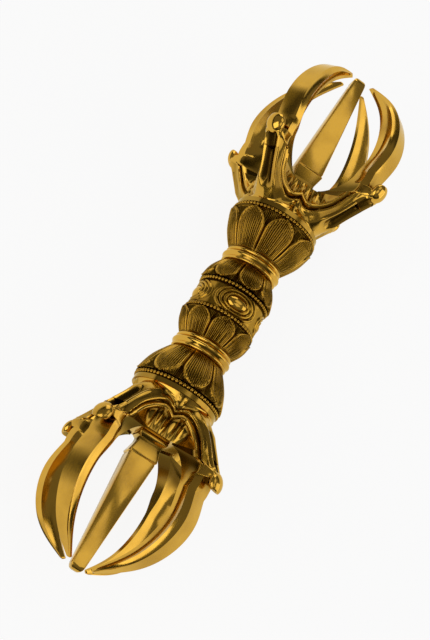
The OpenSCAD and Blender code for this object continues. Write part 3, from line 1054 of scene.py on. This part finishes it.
class VAJRA_OT_crowns(bpy.types.Operator):
    """Model a crown with its ledge, arches, swag ribs and arms and set both"""
    bl_idname = "vajra.crowns"
    bl_label = "Crowns"

    def execute(self, context):
        s = sizes("vajra_crown")
        p = sizes("vajra_prong")
        shares = [i / RIM_STEPS for i in range(RIM_STEPS + 1)]
        heights = [1 - (1 - j / WALL_STEPS) ** ROW_CROWDING for j in range(WALL_STEPS + 1)]
        heights += [1 + j / FLUTE_STEPS for j in range(1, FLUTE_STEPS + 1)]
        levels = []
        for z in (CROWN[0], CROWN[0] + s.ledge_h):
            levels.append([self.on_ledge(crown_point(s, p, g, 0), s.ledge_r, z) for g in shares])
        for level in heights:
            levels.append([self.on_wall(s, p, g, level) for g in shares])
        rings = []
        patina_and_shade = []
        for level in levels:
            around = [(spot, -1) for spot in level] + [(spot, 1) for spot in reversed(level[1:])]
            ring = []
            for k in range(len(PRONGS)):
                for (point, dark), hand in around:
                    ring.append(turned((point.x, hand * point.y, point.z), EIGHTH + QUARTER * k))
                    patina_and_shade.append(dark)
            rings.append(ring)
        crown = skin("crown", rings, patina_and_shade)
        for v in crown.data.vertices:
            v.co.z = min(max(v.co.z, CROWN[0]), SEAT)
        close_up(crown)
        both_ends(crown, "crown", "polished_brass", angle=45)
        return {"FINISHED"}

    def on_ledge(self, foot, r, z):
        """A point of the ledge below a point of the foot."""
        low = Vector((foot.x, foot.y, 0)).normalized() * r
        return Vector((low.x, low.y, z)), LEDGE_DARK

    def on_wall(self, s, p, g, level):
        """A point of the wall or the flutes with its relief, and how dark it is: patina, with a painted dark
        reflection in the channel.
        """
        point = crown_point(s, p, g, level)
        if level <= 1:
            push, dark = self.wall_mark(s, p, g, level, point)
        else:
            push, dark = self.flute_mark(g, level - 1)
        return point + push * crown_outward(s, p, g, level), dark

    def wall_mark(self, s, p, g, share, point):
        """Relief and darkening of the wall, with an upright tongue in the middle of each arch; the channel's
        darkening is patina with a painted dark reflection.
        """
        away = (point - crown_point(s, p, g, 1)).length
        under = onset(g, *CHANNEL_IN)
        beside = abs(math.pi / 4 - math.atan2(point.y, point.x)) * s.arch_r
        low = 1 - onset(share, *TONGUE_OUT)
        tongue = TONGUE_RIB_H * hump(beside, *TONGUE_RIB) - TONGUE_CUT_D * hump(beside, *TONGUE_CUT)
        push = wall_relief(s, away, share, under) + onset(share, *TONGUE_IN) * low * tongue
        dark = max(CUT_DARK * hump(beside, *CUT_STAIN), BESIDE_DARK * hump(beside, *BESIDE_STAIN))
        return push, max(wall_darkening(away, share, under), low * dark)

    def flute_mark(self, g, share):
        """Relief and patina of the flutes inside an arch."""
        along = min(1, g / FLUTE_END)
        scoop = math.sin(math.pi * share) * (0.5 - 0.5 * math.cos(2 * math.pi * FLUTES * along))
        return -FLUTE_D * scoop, mix(*FLUTE_DARK, scoop)


# Points across a petal and up a cup
PETAL_STEPS = 72
CUP_STEPS = 46
# A petal's outline: its half width, the height where it starts to close, the stretch it closes in, its curve
PETAL_EDGE = 0.95
PETAL_CLOSE = 0.55
PETAL_CLOSING = 0.43
PETAL_ROUND = 1.7
# Inside the outline: the soft edge, the raised rim with where it comes in, and the field with the veins
EDGE_SOFT = 0.06
PETAL_RIM = (0.1, 0.045)
PETAL_RIM_IN = (0.0, 0.2)
PETAL_RIM_H = 0.16
FIELD_IN = (0.14, 0.06)
# Veins gather towards the tip, and the ground between petals has more lines than a petal
VEIN_GATHER = 0.5
VEIN_GATHER_END = 0.3
VEIN_SHARPNESS = 1.5
STAMENS_MORE = 4
# Stretches at the neck and at the rim in which the relief fades out
NECK_FADE = (0.0, 0.08)
RIM_FADE = (0.0, 0.04)
# Bow of a petal across, the share of it that is flat, and the level that neither stands out nor lies in
PETAL_BOW = 1.45
PETAL_FLAT = 0.3
PETAL_LEVEL = 0.45
# Patina between and in the lines, on the field and on the ground, at the edge, and what the rim loses of it
FIELD_DARK = (0.36, 0.91)
GROUND_DARK = (0.6, 0.95)
EDGE_DARK = 0.25
RIM_RUBBED = 0.6


def petal_mark(s, across, up):
    """Relief and patina at a place on a petal: across from -1 to 1, up from 0 at the neck to 1 at the rim."""
    closing = max(0, (up - PETAL_CLOSE) / PETAL_CLOSING)
    edge = PETAL_EDGE * math.sqrt(max(0, 1 - closing ** PETAL_ROUND))
    aside = edge - abs(across)
    inside = ease(aside / EDGE_SOFT + 0.5)
    border = hump(aside, *PETAL_RIM) * onset(up, *PETAL_RIM_IN)
    follow = across / mix(1, max(edge, VEIN_GATHER_END), VEIN_GATHER)
    vein = (0.5 + 0.5 * math.cos(math.pi * s.veins * follow)) ** VEIN_SHARPNESS
    stamen = 0.5 + 0.5 * math.cos(math.pi * (s.veins + STAMENS_MORE) * across)
    field = onset(aside, *FIELD_IN)
    fade = onset(up, *NECK_FADE) * onset(1 - up, *RIM_FADE)
    body = inside * mix(math.cos(across * PETAL_BOW), 1, PETAL_FLAT)
    lines = field * vein + (1 - inside) * stamen
    relief = s.petal_h * (body - PETAL_LEVEL) + PETAL_RIM_H * border - s.vein_d * lines
    dark = field * mix(*FIELD_DARK, vein) + (1 - inside) * mix(*GROUND_DARK, stamen)
    dark += EDGE_DARK * inside * (1 - field) - RIM_RUBBED * border
    return fade * relief, min(DARKEST, max(0.0, dark))


def lotus_cup(name, s, outline):
    """A cup of petals on an outline of radius and height from neck to rim."""
    around = s.petals * PETAL_STEPS
    rings = []
    relief = []
    patina_and_shade = []
    steps = [j / CUP_STEPS for j in range(CUP_STEPS + 1)]
    if outline[0].y > outline[-1].y:
        steps.reverse()
    for up in steps:
        r, z = spline(outline, up)
        ring = []
        for i in range(around):
            across = 2 * ((i / PETAL_STEPS + 0.5) % 1) - 1
            push, dark = petal_mark(s, across, up)
            ring.append(turned((r, 0, z), 360 * i / around))
            relief.append(push)
            patina_and_shade.append(dark)
        rings.append(ring)
    return skin(name, rings, patina_and_shade, relief)


class VAJRA_OT_lotus(bpy.types.Operator):
    """Model the inner and outer lotus cups and set them at both ends"""
    bl_idname = "vajra.lotus"
    bl_label = "Lotus cups"

    def execute(self, context):
        s = sizes("vajra_lotus")
        inner = lotus_cup("inner_cup", s, [
            Vector((s.inner_neck, INNER_CUP[1])),
            Vector((s.inner_belly, sum(INNER_CUP) / 2)),
            Vector((girth("right_inner_lotus"), INNER_CUP[0])),
        ])
        both_ends(inner, "inner_lotus", "antique_brass", angle=60)
        outer = lotus_cup("outer_cup", s, [
            Vector((s.outer_neck, OUTER_CUP[0])),
            Vector((s.outer_belly, sum(OUTER_CUP) / 2)),
            Vector((girth("right_outer_lotus"), OUTER_CUP[1])),
        ])
        both_ends(outer, "outer_lotus", "antique_brass", angle=60)
        return {"FINISHED"}


# Each ring's place along the axis and its number of beads
BEAD_RINGS = {"inner_bead_ring": (INNER_RING, 60), "outer_bead_ring": (OUTER_RING, 68)}
BEAD_SEGMENTS = 8
BEAD_ROWS = 6
# The band that carries the beads: height and width of its lips, drop of its edges and sink of its groove
BAND_LIP = 0.15
BAND_LIP_W = 0.12
BAND_EDGE = 0.1
BEAD_SINK = 0.15
BAND_SEGMENTS = 96
# How deep the groove lies under the tops of the beads, in radii of a bead
GROOVE_AT = 1.5
# Patina between the beads, the height over the groove from which they brighten, and how soon they are bright
BEAD_DARK = 0.85
BEAD_STAIN = 0.1
BEAD_BRIGHT = 1.6


class VAJRA_OT_beads(bpy.types.Operator):
    """Model the four rings of beads"""
    bl_idname = "vajra.beads"
    bl_label = "Bead rings"

    def execute(self, context):
        for ring, (span, count) in BEAD_RINGS.items():
            radius = girth(f"right_{ring}")
            bead = math.pi * radius / (count + math.pi)
            middle = sum(span) / 2
            groove = radius - GROOVE_AT * bead
            band = lathe("band", [
                (groove - BAND_EDGE, span[0]),
                (groove + BAND_LIP, span[0] + BAND_LIP_W),
                (groove - BEAD_SINK, middle),
                (groove + BAND_LIP, span[1] - BAND_LIP_W),
                (groove - BAND_EDGE, span[1]),
            ], BAND_SEGMENTS)
            bpy.ops.mesh.primitive_uv_sphere_add(
                segments=BEAD_SEGMENTS,
                ring_count=BEAD_ROWS,
                radius=bead,
                location=(radius - bead, 0, middle),
            )
            first = bpy.context.object
            bpy.ops.object.transform_apply(location=True)
            beads = [band]
            for i in range(count):
                one = copy_of(first, f"bead_{i}")
                one.data.transform(Matrix.Rotation(2 * math.pi * (i + 0.5) / count, 4, "Z"))
                beads.append(one)
            bpy.data.objects.remove(first)
            select_only(band)
            for one in beads:
                one.select_set(True)
            bpy.ops.object.join()
            low = groove + BEAD_STAIN
            bright = (radius - low) / BEAD_BRIGHT
            shade = band.data.attributes.new("patina_and_shade", "FLOAT", "POINT")
            for i, v in enumerate(band.data.vertices):
                out = math.hypot(v.co.x, v.co.y)
                shade.data[i].value = BEAD_DARK * (1 - onset(out, low, bright))
            both_ends(band, ring, "antique_brass", angle=50)
        return {"FINISHED"}


# Length of a side reed as a share of the collar, and how much lower it lies than the middle one
SIDE_REED = 0.29
SIDE_REED_DROP = 0.45
# Depths of the valleys beside the side reeds and the middle one, and of the collar's ends
SIDE_VALLEY = 0.55
MIDDLE_VALLEY = 0.9
COLLAR_END = 1.3
# Steps over a reed, the roundness of its back and the points round the collar
REED_STEPS = 8
REED_ROUND = 0.7
COLLAR_SEGMENTS = 128


class VAJRA_OT_collars(bpy.types.Operator):
    """Model the collars of three reeds"""
    bl_idname = "vajra.collars"
    bl_label = "Collars"

    def execute(self, context):
        radius = girth("right_collar")
        low, high = COLLAR
        side = SIDE_REED * (high - low)
        reeds = (
            (low, low + side, radius - SIDE_REED_DROP, SIDE_VALLEY),
            (low + side, high - side, radius, MIDDLE_VALLEY),
            (high - side, high, radius - SIDE_REED_DROP, SIDE_VALLEY),
        )
        outline = [(radius - COLLAR_END, low)]
        for start, stop, crown, depth in reeds:
            for j in range(1, REED_STEPS):
                t = j / REED_STEPS
                bow = math.sin(math.pi * t) ** REED_ROUND
                outline.append((crown - depth * (1 - bow), mix(start, stop, t)))
        outline.append((radius - COLLAR_END, high))
        collar = lathe("collar", outline, COLLAR_SEGMENTS)
        both_ends(collar, "collar", "polished_brass", angle=60)
        return {"FINISHED"}


# Points round the barrel and rows along it
HUB_STEPS = 480
HUB_ROWS = 48
# At the barrel's ends: the stretch without relief, and the width and strength of the painted shade under the
# rims of the cups
HUB_EDGE = 0.5
HUB_SHADE_WIDTH = 0.6
HUB_SHADE = 0.9
# The rings round an eye: how round they are, how many pitches out they reach, and the patina between them
OVAL_ROUND = 0.7
OVAL_REACH = 3.4
OVAL_DARK = 0.95
# Relief and patina of an eye's socket, and of the barrel beyond the rings
SOCKET = (-0.3, 0.8)
BARREL = (0.1, 0.3)
# How far an eye is sunk in, the angles of the rings over its face in radians, its fullness and its points
EYE_SINK = 0.6
EYE_ANGLES = (0.0, 0.3, 0.6, 0.9, 1.1, 1.25, 1.37, 1.46, 1.53)
EYE_FULLNESS = 1.4
EYE_SEGMENTS = 48


class VAJRA_OT_hub(bpy.types.Operator):
    """Model the barrel with its oval rings, and the four eyes"""
    bl_idname = "vajra.hub"
    bl_label = "Hub and eyes"

    def execute(self, context):
        s = sizes("vajra_hub")
        rings = []
        relief = []
        patina_and_shade = []
        for j in range(HUB_ROWS + 1):
            z = mix(-HUB_END, HUB_END, j / HUB_ROWS)
            inward = HUB_END - abs(z)
            edge = ease(inward / HUB_EDGE)
            ring = []
            for i in range(HUB_STEPS):
                angle = 360 * i / HUB_STEPS
                across = (angle + EIGHTH) % QUARTER - EIGHTH
                push, dark = self.oval_mark(s, math.radians(across) * s.barrel_r, z)
                ring.append(turned((s.barrel_r, 0, z), angle))
                relief.append(edge * push)
                # Painted shade at the barrel's ends, under the rims of the cups
                patina_and_shade.append(max(dark, HUB_SHADE * hump(inward, 0, HUB_SHADE_WIDTH)))
            rings.append(ring)
        hub = skin("eye_hub_form", rings, patina_and_shade, relief)
        seat(hub, 1)
        finish_piece(hub, "eye_hub", "antique_brass", angle=60)
        for label, k in EYES.items():
            self.eye(s, label, k)
        return {"FINISHED"}

    def oval_mark(self, s, x, z):
        """Relief and patina of the rings round an eye, at x round the barrel and z along it."""
        a = s.eye_len / 2
        b = s.eye_h / 2
        away = (math.hypot(x / a, z / b) - 1) * (a + b) / 2
        if away < 0:
            return SOCKET
        rings = abs(math.sin(math.pi * away / s.ring_gap)) ** OVAL_ROUND
        near = ease(OVAL_REACH - away / s.ring_gap)
        relief, dark = BARREL
        return mix(relief, s.ring_h * rings, near), mix(dark, OVAL_DARK * (1 - rings), near)

    def eye(self, s, label, k):
        """A polished oval eye with a softly rounded face."""
        outline = [(1, s.barrel_r - EYE_SINK)]
        for angle in EYE_ANGLES:
            outline.append((math.cos(angle), s.barrel_r + s.eye_rise * math.sin(angle) ** EYE_FULLNESS))
        eye = lathe(f"eye_{label}_form", outline, EYE_SEGMENTS)
        eye.data.transform(Matrix.Diagonal((s.eye_h / 2, s.eye_len / 2, 1, 1)))
        eye.data.transform(Matrix.Rotation(math.pi / 2, 4, "Y"))
        eye.data.attributes.new("patina_and_shade", "FLOAT", "POINT")
        seat(eye, 1, QUARTER * k)
        finish_piece(eye, f"eye_boss_{label}", "polished_brass", angle=60)


# Chamfer of the plinth's top, in and down
PLINTH_CHAMFER = (0.4, 0.3)
# Above the shoulder's widest place: its flat, the step in to the blade and the blade's foot
SHOULDER_FLAT = 0.4
BLADE_STEP = (0.3, 0.7)
BLADE_FOOT = 1.2
# The rounded point: how much narrower than the blade's end, and how far below the tip
POINT = ((0.0, 1.9), (0.3, 1.1), (0.9, 0.5), (1.7, 0.15), (2.6, 0.0))
# Steps over a rounded edge, and the bend from which an edge is rounded
BEVEL_STEPS = 3
BEVEL_FROM = 25
# Patina in the groove and half its height
CENTRE_DARK = 0.9
CENTRE_STAIN = 0.9


class VAJRA_OT_centre(bpy.types.Operator):
    """Model the straight centre prongs on their plinths"""
    bl_idname = "vajra.centre"
    bl_label = "Centre prongs"

    def execute(self, context):
        s = sizes("vajra_centre")
        top = CENTRE_TIP - SEAT - INSET
        steps = [
            (s.plinth_w, s.plinth_h - PLINTH_CHAMFER[1]),
            (s.plinth_w - PLINTH_CHAMFER[0], s.plinth_h),
            (s.groove_w, s.groove_h),
            (s.groove_w, s.band_h),
            (s.shoulder_w, s.shoulder_h),
            (s.shoulder_w, s.shoulder_h + SHOULDER_FLAT),
            (s.blade_w - BLADE_STEP[0], s.shoulder_h + BLADE_STEP[1]),
            (s.blade_w, s.shoulder_h + BLADE_FOOT),
        ]
        steps += [(s.point_w - narrow, top - below) for narrow, below in POINT]
        select_only(None)
        bpy.ops.mesh.primitive_plane_add(size=s.plinth_w, location=(0, 0, SEAT))
        prong = bpy.context.object
        prong.name = "centre_prong"
        bpy.ops.object.transform_apply(location=True)
        bpy.ops.object.mode_set(mode="EDIT")
        bpy.ops.mesh.select_all(action="SELECT")
        width = s.plinth_w
        height = 0
        for w, h in steps:
            bpy.ops.mesh.extrude_region_move(TRANSFORM_OT_translate={"value": (0, 0, h - height)})
            bpy.ops.transform.resize(value=(w / width, w / width, 1), center_override=(0, 0, SEAT + h))
            width, height = w, h
        bpy.ops.object.mode_set(mode="OBJECT")
        close_up(prong)
        bevel = prong.modifiers.new("edges", "BEVEL")
        bevel.width = s.bevel
        bevel.segments = BEVEL_STEPS
        bevel.limit_method = "ANGLE"
        bevel.angle_limit = math.radians(BEVEL_FROM)
        bpy.ops.object.modifier_apply(modifier="edges")
        shade = prong.data.attributes.new("patina_and_shade", "FLOAT", "POINT")
        groove = SEAT + (s.groove_h + s.band_h) / 2
        for i, v in enumerate(prong.data.vertices):
            shade.data[i].value = CENTRE_DARK * hump(v.co.z, groove, CENTRE_STAIN)
        both_ends(prong, "centre_prong", "polished_brass", angle=30)
        return {"FINISHED"}


# The camera, from the middle of the hub, fitted to the outline in the photograph
CAMERA_AT = (-164.1, 80.3, 446.0)
CAMERA_AIM = (-4.3, 1.4, 0.0)
CAMERA_ROLL = 30.33
# The focal length and the height of the picture, in its pixels
FOCUS_PX = 1606.9
PHOTO_H_PX = 640
SENSOR_MM = 36.0
# Nearest that the camera sees, in metres
CLIP_START = 0.01
# Each lamp: place and width in metres, and power in watts
LAMPS = {
    "key": ((-0.55, 0.60, 0.75), 0.85, 4.3),
    "side": ((0.10, -0.90, 0.45), 0.80, 2.8),
    "end": ((0.95, 0.25, 0.35), 0.55, 1.7),
    "top": ((0.52, -0.18, 0.95), 0.55, 0.80),
    "overhead": ((-0.14, -0.20, 1.05), 0.50, 0.66),
}
# The floor: width and gap under the part in metres, colour, roughness and the share seen as plain white
FLOOR_W = 6
FLOOR_GAP = 0.0002
FLOOR_COLOUR = (0.9, 0.9, 0.89)
FLOOR_ROUGHNESS = 0.9
FLOOR_WHITE = 0.9
# Levels of the sky by height and drift, its tint, and the drift's scale and detail
SKY_LEVELS = ((0.6, 0.03), (0.95, 0.07), (1.0, 0.20))
SKY_TINT = (1, 0.98, 0.94)
DRIFT_SCALE = 1.3
DRIFT_DETAIL = 1.0
# Heights up to which the haze over the floor is full, and at which it has gone
HAZE_FULL = 0.06
HAZE_TOP = 0.16


def seen_rays(tree):
    """The mask of the rays that see the background: from the camera, off polish and through glass."""
    rays = node(tree, "ShaderNodeLightPath")
    polish = node(tree, "ShaderNodeMath", operation="MAXIMUM")
    glass = node(tree, "ShaderNodeMath", operation="MAXIMUM")
    wire(
        tree,
        (rays.outputs["Is Camera Ray"], polish.inputs[0]),
        (rays.outputs["Is Glossy Ray"], polish.inputs[1]),
        (polish.outputs["Value"], glass.inputs[0]),
        (rays.outputs["Is Transmission Ray"], glass.inputs[1]),
    )
    return glass.outputs["Value"]


class VAJRA_OT_stage(bpy.types.Operator):
    """Lay the floor and set the lamps, the sky and the camera"""
    bl_idname = "vajra.stage"
    bl_label = "Stage"

    def execute(self, context):
        self.floor()
        self.sky(context.scene)
        hub = Vector((0, 0, AXIS_H * MM))
        for name, (place, width, power) in LAMPS.items():
            lamp = bpy.data.lights.new(name, "AREA")
            lamp.size = width
            lamp.energy = power
            holder = bpy.data.objects.new(name, lamp)
            holder.location = place
            holder.rotation_euler = (hub - Vector(place)).to_track_quat("-Z", "Y").to_euler()
            context.scene.collection.objects.link(holder)
        self.camera(context.scene, hub)
        context.scene.view_settings.view_transform = "Standard"
        return {"FINISHED"}

    def floor(self):
        """A wide pale floor that the camera and the polish see as white."""
        select_only(None)
        bpy.ops.mesh.primitive_plane_add(size=FLOOR_W, location=(0, 0, -FLOOR_GAP))
        floor = bpy.context.object
        floor.name = "floor"
        material = bpy.data.materials.new("floor_white")
        material.use_nodes = True
        tree = material.node_tree
        shader = tree.nodes["Principled BSDF"]
        shader.inputs["Base Color"].default_value = (*FLOOR_COLOUR, 1)
        shader.inputs["Roughness"].default_value = FLOOR_ROUGHNESS
        glow = node(tree, "ShaderNodeEmission")
        share = node(tree, "ShaderNodeMath", operation="MULTIPLY")
        share.inputs[1].default_value = FLOOR_WHITE
        blend = node(tree, "ShaderNodeMixShader")
        wire(
            tree,
            (seen_rays(tree), share.inputs[0]),
            (share.outputs["Value"], blend.inputs["Fac"]),
            (shader.outputs["BSDF"], blend.inputs[1]),
            (glow.outputs["Emission"], blend.inputs[2]),
            (blend.outputs["Shader"], tree.nodes["Material Output"].inputs["Surface"]),
        )
        floor.data.materials.append(material)

    def sky(self, scene):
        """A soft studio sky: pale overhead and dim below, with a white haze that meets the floor."""
        world = bpy.data.worlds.new("studio")
        world.use_nodes = True
        scene.world = world
        tree = world.node_tree
        place = node(tree, "ShaderNodeTexCoord")
        parts = node(tree, "ShaderNodeSeparateXYZ")
        drift = node(tree, "ShaderNodeTexNoise")
        drift.inputs["Scale"].default_value = DRIFT_SCALE
        drift.inputs["Detail"].default_value = DRIFT_DETAIL
        shift = node(tree, "ShaderNodeMath", operation="ADD")
        ramp = node(tree, "ShaderNodeValToRGB")
        stops = ramp.color_ramp.elements
        stops[1].position = SKY_LEVELS[-1][0]
        for position, _ in SKY_LEVELS[:-1]:
            stops.new(position)
        shades = [SKY_LEVELS[0][1]] + [level for _, level in SKY_LEVELS]
        for stop, level in zip(stops, shades):
            stop.color = (*(level * tint for tint in SKY_TINT), 1)
        low = node(tree, "ShaderNodeMapRange")
        low.inputs["From Min"].default_value = HAZE_TOP
        low.inputs["From Max"].default_value = HAZE_FULL
        share = node(tree, "ShaderNodeMath", operation="MULTIPLY")
        seen = node(tree, "ShaderNodeMix", data_type="RGBA")
        seen.inputs["B"].default_value = (1, 1, 1, 1)
        wire(
            tree,
            (place.outputs["Generated"], parts.inputs["Vector"]),
            (place.outputs["Generated"], drift.inputs["Vector"]),
            (parts.outputs["Z"], shift.inputs[0]),
            (drift.outputs["Fac"], shift.inputs[1]),
            (shift.outputs["Value"], ramp.inputs["Fac"]),
            (parts.outputs["Z"], low.inputs["Value"]),
            (low.outputs["Result"], share.inputs[0]),
            (seen_rays(tree), share.inputs[1]),
            (share.outputs["Value"], seen.inputs["Factor"]),
            (ramp.outputs["Color"], seen.inputs["A"]),
            (seen.outputs["Result"], tree.nodes["Background"].inputs["Color"]),
        )

    def camera(self, scene, hub):
        """The camera at the photograph's angle."""
        lens = bpy.data.cameras.new("camera")
        lens.lens = FOCUS_PX / PHOTO_H_PX * SENSOR_MM
        lens.sensor_width = SENSOR_MM
        lens.clip_start = CLIP_START
        holder = bpy.data.objects.new("camera", lens)
        place = hub + Vector(CAMERA_AT) * MM
        aim = hub + Vector(CAMERA_AIM) * MM
        back = (place - aim).normalized()
        up = Vector((1, 0, 0))
        up = (up - back * up.dot(back)).normalized()
        across = up.cross(back)
        axes = Matrix((across, up, back)).transposed().to_4x4()
        roll = Matrix.Rotation(math.radians(CAMERA_ROLL), 4, "Z")
        holder.matrix_world = Matrix.Translation(place) @ axes @ roll
        scene.collection.objects.link(holder)
        scene.camera = holder


class VAJRA_PT_panel(bpy.types.Panel):
    """The vajra's sizes and the steps that model it"""
    bl_idname = "VAJRA_PT_panel"
    bl_label = "Vajra"
    bl_space_type = "VIEW_3D"
    bl_region_type = "UI"
    bl_category = "Vajra"

    def draw(self, context):
        """Lists the sizes, the colours and the steps."""
        for name in GROUPS:
            box = self.layout.box()
            group = getattr(context.scene, name)
            for key in group.__annotations__:
                box.prop(group, key)
        for step in STEPS:
            self.layout.operator(step.bl_idname)


STEPS = (
    VAJRA_OT_brass,
    VAJRA_OT_prongs,
    VAJRA_OT_crowns,
    VAJRA_OT_lotus,
    VAJRA_OT_beads,
    VAJRA_OT_collars,
    VAJRA_OT_hub,
    VAJRA_OT_centre,
    VAJRA_OT_stage,
)


def register():
    """Adds the size groups, the steps and the panel."""
    for name, group in GROUPS.items():
        bpy.utils.register_class(group)
        setattr(bpy.types.Scene, name, bpy.props.PointerProperty(type=group))
    for step in STEPS:
        bpy.utils.register_class(step)
    bpy.utils.register_class(VAJRA_PT_panel)


def unregister():
    """Takes the panel, the steps and the size groups away."""
    bpy.utils.unregister_class(VAJRA_PT_panel)
    for step in reversed(STEPS):
        bpy.utils.unregister_class(step)
    for name, group in GROUPS.items():
        delattr(bpy.types.Scene, name)
        bpy.utils.unregister_class(group)


def main():
    """Models the whole vajra."""
    register()
    for step in STEPS:
        action = step.bl_idname.split(".")[1]
        getattr(bpy.ops.vajra, action)()


if __name__ == "__main__":
    main()
